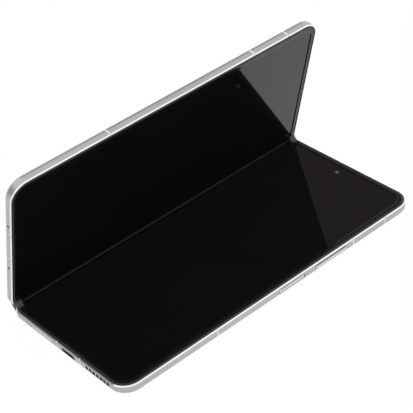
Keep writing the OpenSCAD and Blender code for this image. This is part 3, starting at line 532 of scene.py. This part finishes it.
def makeShell(name, nodeName, body):
    row = holes[body]

    # Looks 2 and 3 are painted shade: inside faces darker, opening walls and hole countersinks black
    def paint(spot, normal):   # 0 rail, 1 rim, 2 inside, 3 shaded opening
        depth = railDepth(spot)
        if (spot.z > rim["bevelLow"] and normal.z > rim["slant"]
                and math.hypot(normal.x, normal.y) > rim["slant"]):
            return 1
        if rim["insideLow"] < spot.z < rim["bevelLow"] and depth > rim["shadeDepth"]:
            low, high = rim["socketX"]
            inSocket = low < spot.x < high and spot.y < 0
            return 3 if depth < rim["shadeEnd"] and not inSocket else 2
        sunk = nearHole(row, spot) < row["radius"] + row["sink"] * holeFit["shadeReach"]
        return 3 if sunk and normal.y > holeFit["shadeTurn"] else 0

    bm = mergedCopy(nodeName)
    toHalf = spots[body].inverted()
    sinkHoles(bm, row, toHalf)
    paintFaces(bm, toHalf, paint)
    piece = finishMesh(name, bm, ["satinRail", "polishedRim", "shadedInside", "portShade"], None,
                       smoothAngle=rim["smoothAngle"])
    soft = piece.modifiers.new("softEdge", "BEVEL")
    soft.width = rim["softEdge"] * mm
    soft.segments = rim["softSegments"]
    soft.limit_method = "ANGLE"
    soft.angle_limit = math.radians(rim["softAngle"])
    soft.harden_normals = True
    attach(piece, body)
    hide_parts(nodeName)


makeShell("baseShell", "base_frame", "base")
makeShell("lidShell", "lid_frame", "lid")
print("frames dressed")


# Screen sheets: flat on a half, then bent down to the spine's middle
sheet = {"top": 4.1, "thick": 0.12, "inset": 2.3, "start": 6.15, "bend": 0.85, "foldEnd": 74.95,
         "blendStart": 2.1, "creaseReach": 0.75, "merge": 0.003, "smoothAngle": 40.0,
         "arcSteps": 16, "straightSteps": 12, "bendSteps": 32}
punch = {"x": 34.2, "y": 71.95, "radius": 1.2, "steps": 48}


# A point of the base half in the spine's frame
def seenFromSpine(x, z):
    turn = math.radians(phone["halfTurn"])
    dx, dz = x - phone["axisOffset"], z - phone["axisHeight"]
    return (phone["axisOffset"] + dx * math.cos(turn) - dz * math.sin(turn),
            phone["axisHeight"] + dx * math.sin(turn) + dz * math.cos(turn))


# Points in the spine's frame, from x = start on the base side down to the spine's middle
def foldLine(start, height, bend):
    turn = math.radians(phone["halfTurn"])
    px, pz = seenFromSpine(start, height)
    centre = pz - px * math.tan(turn) + bend / math.cos(turn)
    qx, qz = bend * math.sin(turn), centre - bend * math.cos(turn)
    shares = [i / sheet["straightSteps"] for i in range(sheet["straightSteps"])]
    turns = [turn * (1 - i / sheet["bendSteps"]) for i in range(sheet["bendSteps"] + 1)]
    return ([(px + (qx - px) * share, pz + (qz - pz) * share) for share in shares]
            + [(bend * math.sin(a), centre - bend * math.cos(a)) for a in turns])


# Outline of a half set in by inset, from its near fold end round to its far fold end
def halfOutline(inset, start, aside=0):
    reach, along = phone["halfWidth"] - aside, phone["halfLength"] - inset
    radius = phone["cornerRadius"] - inset
    middleX, middleY = reach - phone["cornerRadius"], phone["halfLength"] - phone["cornerRadius"]
    points = [(start, -along)]
    for end, first in ((-1, -90), (1, 0)):
        for i in range(sheet["arcSteps"] + 1):
            a = math.radians(first + 90 * i / sheet["arcSteps"])
            points.append((middleX + radius * math.cos(a), end * middleY + radius * math.sin(a)))
    points.append((start, along))
    return points


def closedEdges(bm, spot, points):
    verts = [bm.verts.new(spot @ Vector((x, y, sheet["top"]))) for x, y in points]
    return [bm.edges.new((verts[i], verts[(i + 1) % len(verts)])) for i in range(len(verts))]


# Blend from a half to the spine's middle, up to the height of the piece's fold there
def blendToSpine(piece, body, height):
    start = spots[body] @ Vector((sheet["blendStart"], 0, sheet["top"]))
    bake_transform(piece, body, "spine", start=start, end=spineSpot @ Vector((0, 0, height)))


def makeScreen(name, body, look, punched):
    side = 1 if body == "base" else -1
    bm = bmesh.new()
    spot = spots[body]
    outline = halfOutline(sheet["inset"], sheet["start"])
    outline += [(sheet["start"], sheet["foldEnd"]), (sheet["start"], -sheet["foldEnd"])]
    edges = closedEdges(bm, spot, outline)
    if punched:
        edges += closedEdges(bm, spot, circle(
            punch["x"], punch["y"], punch["radius"], punch["steps"]))
    bmesh.ops.triangle_fill(bm, use_beauty=True, edges=edges)
    line = foldLine(sheet["start"], sheet["top"], sheet["bend"])
    rows = [[bm.verts.new(spineSpot @ Vector((side * x, y, z))) for x, z in line]
            for y in (-sheet["foldEnd"], sheet["foldEnd"])]
    for i in range(len(line) - 1):
        face = bm.faces.new((rows[0][i], rows[0][i + 1], rows[1][i + 1], rows[1][i]))
        face.material_index = 1 if line[i][0] < sheet["creaseReach"] else 0
    bmesh.ops.remove_doubles(bm, verts=bm.verts, dist=sheet["merge"] * mm)
    bmesh.ops.recalc_face_normals(bm, faces=bm.faces)
    up = spot.to_3x3() @ Vector((0, 0, 1))
    flat = max(bm.faces, key=lambda face: face.calc_area())
    if flat.normal.dot(up) < 0:
        bmesh.ops.reverse_faces(bm, faces=bm.faces)
    bmesh.ops.solidify(bm, geom=bm.faces[:], thickness=sheet["thick"] * mm)
    piece = finishMesh(name, bm, [look, "creaseFilm"], None, smoothAngle=sheet["smoothAngle"])
    blendToSpine(piece, body, line[-1][1])
    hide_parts(body + "_screen_film", "fold_film")


makeScreen("screenBase", "base", "screenFilm", True)
makeScreen("screenLid", "lid", "lidFilmPaintedLighter", False)


# Display layers and the hinge cable under the fold, and the soft strips at its ends
under = {"start": 6.15, "top": 3.96, "low": 3.58, "half": 76.65}
cable = {"start": 5.1, "top": 2.025, "low": 1.875, "half": 6.0}
strips = {"start": 5.15, "top": 4.45, "bend": 2.15, "film": 4.12, "skin": 4.41, "well": 76.65,
          "soft": 0.03, "ease": 0.1, "patch": 1.6, "smoothAngle": 50.0,
          "far": (75.15, 78.0), "near": (74.0, 76.7)}


# Line of a layer that keeps its distance from the screen's top round the bend
def layerLine(start, height):
    return foldLine(start, height, sheet["bend"] + sheet["top"] - height)


# One half of a bent piece through (y, line) rows in order round it. Its last look is outside
# the patch beside the fold
def makeFoldSide(name, body, sections, looks, node):
    side = 1 if body == "base" else -1
    outer = len(looks) - 1
    bm = bmesh.new()
    rows = [[bm.verts.new(spineSpot @ Vector((side * x, y, z))) for x, z in line]
            for y, line in sections]
    skinRows(bm, rows, lambda i, j: outer if sections[i][1][j][0] > strips["patch"] else 0, outer)
    piece = finishMesh(name, bm, looks, None, smoothAngle=strips["smoothAngle"])
    blendToSpine(piece, body, max(line[-1][1] for _, line in sections))
    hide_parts(node)


def makeLayer(name, body, layer, look, node):
    top, low = (layerLine(layer["start"], layer[key]) for key in ("top", "low"))
    half = layer["half"]
    makeFoldSide(name, body, [(-half, top), (half, top), (half, low), (-half, low)], [look],
                 node)


def makeStrip(name, body, end, inner, outer):
    def upper(height):
        return foldLine(strips["start"], height, strips["bend"] + strips["top"] - height)

    low = layerLine(strips["start"], under["top"])
    film = layerLine(strips["start"], strips["film"])
    skin, edge, top = (upper(height) for height in (
        strips["skin"], strips["top"] - strips["soft"], strips["top"]))
    ease, innerEnd = strips["ease"], sheet["foldEnd"] + strips["ease"]
    sections = [(inner, film), (inner, edge), (inner + ease, top), (outer - ease, top),
                (outer, edge), (outer, skin), (strips["well"], skin), (strips["well"], low),
                (innerEnd, low)]
    if inner < sheet["foldEnd"]:
        sections.append((innerEnd, film))
    makeFoldSide(name, body, [(end * y, line) for y, line in sections],
                 ["foldStrip", "bezelRing"], "fold_edge_strips")


for body in ("base", "lid"):
    title = body.capitalize()
    makeLayer("panelFold" + title, body, under, "panelLayers", "fold_panel")
    makeLayer("hingeCable" + title, body, cable, "cableFilm", "hinge_cable")
    makeStrip("stripFar" + title, body, 1, *strips["far"])
    makeStrip("stripNear" + title, body, -1, *strips["near"])
print("screens and fold made")


# Bezel rings with a crowned top
ring = {"inset": 0.51, "start": 5.2, "smoothAngle": 50.0,
        # inset, height, extra inset on the long side, look of the face that follows
        "profile": ((0, 3.98, 0, 0), (0, 4.02, 0, 0), (0.6, 4.02, 0, 0), (0.64, 4.3, 0, 0),
                    (0.7, 4.38, 0, 0), (0.8, 4.43, 0, 0), (0.94, 4.45, 0, 1),
                    (1.9, 4.45, 0.9, 1), (2.05, 4.42, 0.9, 1), (2.15, 4.36, 0.9, 1),
                    (2.2, 4.27, 0.9, 1), (2.2, 4.12, 0.9, 0), (1.3, 4.12, 0, 0),
                    (1.3, 3.98, 0, 0))}


def makeRing(name, body):
    bm = bmesh.new()
    loops = [[bm.verts.new(spots[body] @ Vector((x, y, height)))
              for x, y in halfOutline(ring["inset"] + inset, ring["start"], aside)]
             for inset, height, aside, _ in ring["profile"]]
    skinRows(bm, loops, lambda i, j: ring["profile"][i][3])
    finishMesh(name, bm, ["bezelRubber", "bezelRing"], body, [body + "_bezel"],
               smoothAngle=ring["smoothAngle"])


makeRing("ringBase", "base")
makeRing("ringLid", "lid")
print("rings made")


# Copies of turned or milled parts with softened outer edges
soften = {"sharpAngle": 50.0, "smoothAngle": 38.0}


def softCopy(name, nodeName, body, looks, shape, wanted, paint):
    bm = mergedCopy(nodeName)
    toHalf = spots[body].inverted()
    sharp = math.radians(soften["sharpAngle"])
    edges = [edge for edge in bm.edges
             if len(edge.link_faces) == 2 and edge.calc_face_angle(0) > sharp
             and all(wanted(toHalf @ vert.co) for vert in edge.verts)]
    bevelEdges(bm, edges, shape["edge"], shape["segments"])
    paintFaces(bm, toHalf, paint)
    finishMesh(name, bm, looks, body_of(nodes[nodeName])[0], [nodeName],
               smoothAngle=soften["smoothAngle"])


def plainPaint(spot, normal):
    return 0


# Keys: painted shade on the top and near-end bevels, painted highlight (bright polished look) on the other
# bevels
keys = {"edge": 0.26, "segments": 3, "slant": 0.25, "front": 0.97, "nearEnd": -0.6,
        "outer": {"powerKey": 72.6, "volumeKey": 72.85}}


def keyPaint(spot, normal):
    if not keys["slant"] < normal.x < keys["front"]:
        return 0
    return 2 if normal.z > keys["slant"] or normal.y < keys["nearEnd"] else 1


for name, nodeName in (("powerKey", "power_key"), ("volumeKey", "volume_key")):
    softCopy(name, nodeName, "base", ["keyMetal", "polishedRim", "keyShade"], keys,
             lambda spot: spot.x > keys["outer"][name], keyPaint)


# Switch domes, a touch lower so the rocking key clears them
switches = {"domeDrop": 0.14, "topReach": 0.02, "smoothAngle": 40.0}


def makeSwitches():
    bm = mergedCopy("key_switches")
    toHalf = spots["base"].inverted()
    top = max((toHalf @ vert.co).x for vert in bm.verts) - switches["topReach"]
    drop = spots["base"].to_3x3() @ Vector((-switches["domeDrop"], 0, 0))
    for vert in bm.verts:
        if (toHalf @ vert.co).x > top:
            vert.co += drop
    finishMesh("keySwitches", bm, ["moduleGrey"], "base", ["key_switches"],
               smoothAngle=switches["smoothAngle"])


makeSwitches()

# Card tray with the walls of its eject hole painted black as painted shade
tray = {"edge": 0.1, "segments": 2, "outer": -78.28, "ejectX": 13.6, "holeReach": 0.36,
        "clear": 0.46, "holeEnd": -77.1, "holeWall": 0.5}


def trayEdge(spot):
    return spot.y < tray["outer"] and abs(spot.x - tray["ejectX"]) > tray["clear"]


def trayPaint(spot, normal):
    inHole = abs(spot.x - tray["ejectX"]) < tray["holeReach"] and spot.y < tray["holeEnd"]
    return 1 if inHole and abs(normal.y) < tray["holeWall"] else 0


softCopy("cardTray", "card_tray", "base", ["keyMetal", "portShade"], tray, trayEdge, trayPaint)
print("keys and tray made")


# Turned parts: rows of (radius, height, look of the face that follows), spun about z
def spinRows(bm, body, x, y, rows, steps):
    loops = []
    for radius, height, _ in rows:
        points = circle(x, y, radius, steps) if radius else [(x, y)]
        loops.append([bm.verts.new(spots[body] @ Vector((*point, height))) for point in points])
    for (_, _, look), first, second in zip(rows, loops, loops[1:]):
        for i in range(steps):
            j = (i + 1) % steps
            if len(first) == 1:
                corners = (first[0], second[i], second[j])
            elif len(second) == 1:
                corners = (first[i], first[j], second[0])
            else:
                corners = (first[i], first[j], second[j], second[i])
            bm.faces.new(corners).material_index = look


# Cameras on the back: pill island and three lenses
island = {"x": 55.9, "middleY": 43.3, "halfLine": 16.5, "radius": 9.5, "low": -1.9,
          "edge": 0.45, "segments": 5}
lens = {"spots": (63.55, 48.05, 32.55), "steps": 72, "smoothAngle": 32.0,
        "rows": ((0, -1.45, 0), (6.0, -1.45, 0), (6.0, -1.93, 0), (5.92, -1.98, 0),
                 (5.5, -1.98, 0), (5.36, -1.9, 0), (5.34, -1.82, 1), (3.3, -1.82, 1),
                 (3.1, -1.8, 2), (2.5, -1.66, 2), (2.3, -1.62, 3), (1.6, -1.71, 3),
                 (0.8, -1.765, 3), (0, -1.78, 3))}


def islandEdge(spot):
    along = max(abs(spot.y - island["middleY"]) - island["halfLine"], 0)
    return spot.z < island["low"] and math.hypot(along, spot.x - island["x"]) > island["radius"]


softCopy("cameraIsland", "camera_island", "base", ["frostedBack", "ringMetal"], island,
         islandEdge, plainPaint)
lensMesh = bmesh.new()
for y in lens["spots"]:
    spinRows(lensMesh, "base", island["x"], y, lens["rows"], lens["steps"])
finishMesh("cameraWindows", lensMesh, ["ringMetal", "coverGlass", "moduleBlack", "domeGlass"],
           "base", ["camera_windows"], smoothAngle=lens["smoothAngle"])


# Geometry Nodes for what repeats: contacts, prism rings and woven wire
wire = {"ringSteps": 64, "sides": 8}


def nodeGroup(name, inputs):
    tree = bpy.data.node_groups.new(name, "GeometryNodeTree")
    face = tree.interface
    face.new_socket("Geometry", in_out="INPUT", socket_type="NodeSocketGeometry")
    face.new_socket("Geometry", in_out="OUTPUT", socket_type="NodeSocketGeometry")
    ids = {label: face.new_socket(label, in_out="INPUT", socket_type="NodeSocket" + kind).identifier
           for label, kind in inputs.items()}
    return tree, tree.nodes.new("NodeGroupInput").outputs, ids


def closeGroup(tree, geometry, look):
    real = addNode(tree, "GeometryNodeRealizeInstances", {"Geometry": geometry})
    painted = addNode(tree, "GeometryNodeSetMaterial", {
        "Geometry": real.outputs[0], "Material": finish[look]})
    joinNodes(tree, painted.outputs[0], tree.nodes.new("NodeGroupOutput").inputs[0])


def lineOf(tree, count, step, start=(0, 0, 0)):
    return addNode(tree, "GeometryNodeMeshLine", {
        "Count": count, "Offset": step, "Start Location": start}).outputs[0]


def placeOn(tree, points, instance, scale=(1, 1, 1)):
    return addNode(tree, "GeometryNodeInstanceOnPoints", {
        "Points": points, "Instance": instance, "Scale": scale}).outputs[0]


def bakeNodes(name, group, values, body, place):
    tree, ids = group
    holder = bpy.data.objects.new(name + "Holder", bpy.data.meshes.new(name + "Holder"))
    bpy.context.scene.collection.objects.link(holder)
    modifier = holder.modifiers.new("build", "NODES")
    modifier.node_group = tree
    for label, value in values.items():
        modifier[ids[label]] = value
    graph = bpy.context.evaluated_depsgraph_get()
    data = bpy.data.meshes.new_from_object(holder.evaluated_get(graph))
    holder.modifiers.remove(modifier)
    bpy.data.objects.remove(holder)
    data.name = name
    data.transform(spots[body] @ Matrix.Translation(place))
    if spots[body].determinant() < 0:
        data.flip_normals()
    piece = bpy.data.objects.new(name, data)
    bpy.context.scene.collection.objects.link(piece)
    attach(piece, body)


# Row of contact pads
def padGroup():
    tree, source, ids = nodeGroup("padRow", {
        "Count": "Int", "Pitch": "Float", "Length": "Float", "Width": "Float", "Height": "Float"})
    row = lineOf(tree, source["Count"], addVector(tree, X=source["Pitch"]))
    pad = addNode(tree, "GeometryNodeMeshCube", {"Size": addVector(
        tree, X=source["Width"], Y=source["Length"], Z=source["Height"])})
    closeGroup(tree, placeOn(tree, row, pad.outputs["Mesh"]), "contactGold")
    return tree, ids


# Concentric prism rings
def ringGroup():
    tree, source, ids = nodeGroup("prismRings", {
        "Count": "Int", "First": "Float", "Pitch": "Float", "Wire": "Float"})
    line = lineOf(tree, source["Count"], (0, 0, 0))
    loop = addNode(tree, "GeometryNodeCurvePrimitiveCircle", {
        "Resolution": wire["ringSteps"], "Radius": 1.0})
    index = addNode(tree, "GeometryNodeInputIndex").outputs[0]
    grown = addMath(tree, "MULTIPLY_ADD", index, source["Pitch"], source["First"])
    wires = addNode(tree, "GeometryNodeRealizeInstances", {
        "Geometry": placeOn(tree, line, loop.outputs["Curve"], grown)})
    thread = addNode(tree, "GeometryNodeCurvePrimitiveCircle", {
        "Resolution": wire["sides"], "Radius": source["Wire"]})
    tube = addNode(tree, "GeometryNodeCurveToMesh", {
        "Curve": wires.outputs[0], "Profile Curve": thread.outputs["Curve"]})
    closeGroup(tree, tube.outputs[0], "flashLens")
    return tree, ids


# Woven wire in a row of round holes: wires across each hole both ways, cut to its circle
def weaveGroup():
    tree, source, ids = nodeGroup("wovenWire", {
        "Holes": "Int", "Hole Pitch": "Float", "Radius": "Float", "Wires": "Int",
        "Wire": "Float"})
    radius = source["Radius"]
    span = addMath(tree, "MULTIPLY", radius, 2.0)
    pitch = addMath(tree, "DIVIDE", span, addMath(tree, "ADD", source["Wires"], 1.0))
    start = addMath(tree, "SUBTRACT", pitch, radius)
    row = lineOf(tree, source["Wires"], addVector(tree, X=pitch), addVector(tree, X=start))
    place = addNode(tree, "GeometryNodeInputPosition").outputs[0]
    share = addMath(tree, "DIVIDE", addNode(
        tree, "ShaderNodeSeparateXYZ", {0: place}).outputs["X"], radius)
    length = addMath(tree, "SQRT", addMath(
        tree, "SUBTRACT", 1.0, addMath(tree, "MULTIPLY", share, share)))
    rod = addNode(tree, "GeometryNodeMeshCylinder", {
        "Vertices": wire["sides"], "Radius": source["Wire"], "Depth": span})
    rods = placeOn(tree, row, rod.outputs["Mesh"], addVector(tree, X=1.0, Y=1.0, Z=length))
    aside = addVector(tree, Y=addMath(tree, "MULTIPLY", source["Wire"], 2.0))
    crossed = addNode(tree, "GeometryNodeTransform", {
        "Geometry": rods, "Translation": aside, "Rotation": (0, math.pi / 2, 0)})
    both = addNode(tree, "GeometryNodeJoinGeometry")
    joinNodes(tree, rods, both.inputs[0])
    joinNodes(tree, crossed.outputs[0], both.inputs[0])
    patch = addNode(tree, "GeometryNodeRealizeInstances", {"Geometry": both.outputs[0]})
    holeRow = lineOf(tree, source["Holes"], addVector(tree, X=source["Hole Pitch"]))
    closeGroup(tree, placeOn(tree, holeRow, patch.outputs[0]), "meshSteel")
    return tree, ids


padRow, prismRings, wovenWire = padGroup(), ringGroup(), weaveGroup()

# Wire mesh behind the speaker's holes and the lid's small holes
weave = {"y": -77.0,
         "base": {"Radius": 0.54, "Wires": 6, "Wire": 0.028},
         "lid": {"Radius": 0.39, "Wires": 5, "Wire": 0.024}}
for name, body in (("speakerMesh", "base"), ("micMesh", "lid")):
    row = holes[body]
    bakeNodes(name, wovenWire,
              {"Holes": row["count"], "Hole Pitch": row["pitch"], **weave[body]}, body,
              (row["first"], weave["y"], row["level"]))

# Socket tongue with twelve contacts on each face
socket = {"edge": 0.12, "segments": 2, "outer": -77.1, "firstX": 35.25, "y": -75.6,
          "faces": {"contactsLow": 1.59, "contactsHigh": 2.31},
          "contacts": {"Count": 12, "Pitch": 0.5, "Length": 2.6, "Width": 0.26, "Height": 0.06}}
softCopy("socketTongue", "socket_tongue", "base", ["moduleBlack"], socket,
         lambda spot: spot.y < socket["outer"], plainPaint)
for name, z in socket["faces"].items():
    bakeNodes(name, padRow, socket["contacts"], "base", (socket["firstX"], socket["y"], z))

# Flash: domed cover with prism rings
flash = {"y": 22.25, "low": -1.9, "steps": 48, "smoothAngle": 32.0,
         "rows": ((0, 0.55, 0), (1.58, 0.55, 0), (1.58, -1.78, 0), (1.5, -1.88, 0),
                  (1.1, -1.9, 0), (0, -1.9, 0)),
         "rings": {"Count": 5, "First": 0.25, "Pitch": 0.24, "Wire": 0.05}}
flashMesh = bmesh.new()
spinRows(flashMesh, "base", island["x"], flash["y"], flash["rows"], flash["steps"])
finishMesh("flashCover", flashMesh, ["flashLens"], "base", ["flash_window"],
           smoothAngle=flash["smoothAngle"])
bakeNodes("flashRings", prismRings, flash["rings"], "base",
          (island["x"], flash["y"], flash["low"]))

# Camera under the punch hole of the inner screen; the bright metal disc at its lens centre is a painted
# highlight
front = {"steps": 64, "smoothAngle": 32.0,
         "rows": ((0, 1.32, 0), (2.38, 1.32, 0), (2.38, 3.36, 0), (1.14, 3.36, 0),
                  (1.14, 3.98, 1), (1.0, 4.0, 0), (0.72, 3.98, 0), (0.6, 3.93, 0),
                  (0.48, 3.94, 2), (0.34, 3.98, 3), (0.2, 4.0, 3), (0, 4.01, 3))}
frontMesh = bmesh.new()
spinRows(frontMesh, "base", punch["x"], punch["y"], front["rows"], front["steps"])
finishMesh("frontCamera", frontMesh, ["moduleBlack", "foldStrip", "domeGlass", "ringMetal"],
           "base", ["front_camera"], smoothAngle=front["smoothAngle"])
print("cameras, socket and meshes made")


# Hinge spine cover: brushed barrel, dark ends
spine = {"endAt": 75.7, "cutNear": 0.0005}


def makeSpineCover():
    bm = mergedCopy("spine_cover")
    toSpine = spineSpot.inverted()
    for end in (-1, 1):
        bmesh.ops.bisect_plane(bm, geom=bm.verts[:] + bm.edges[:] + bm.faces[:],
                               dist=spine["cutNear"] * mm,
                               plane_co=spineSpot @ Vector((0, end * spine["endAt"], 0)),
                               plane_no=Vector((0, 1, 0)))
    for face in bm.faces:
        if abs((toSpine @ face.calc_center_median()).y) > spine["endAt"]:
            face.material_index = 1
    finishMesh("spineCover", bm, ["spineMetal", "foldStrip"], "spine", ["spine_cover"])


makeSpineCover()

# Back and cover panes with a fine rounded edge
pane = {"edge": 0.22, "segments": 3, "low": 0.05}
for name, nodeName, body, look in (("backPane", "back_glass", "base", "frostedBack"),
                                   ("coverPane", "cover_glass", "lid", "coverGlass")):
    softCopy(name, nodeName, body, [look], pane, lambda spot: spot.z < pane["low"], plainPaint)
print("back dressed")
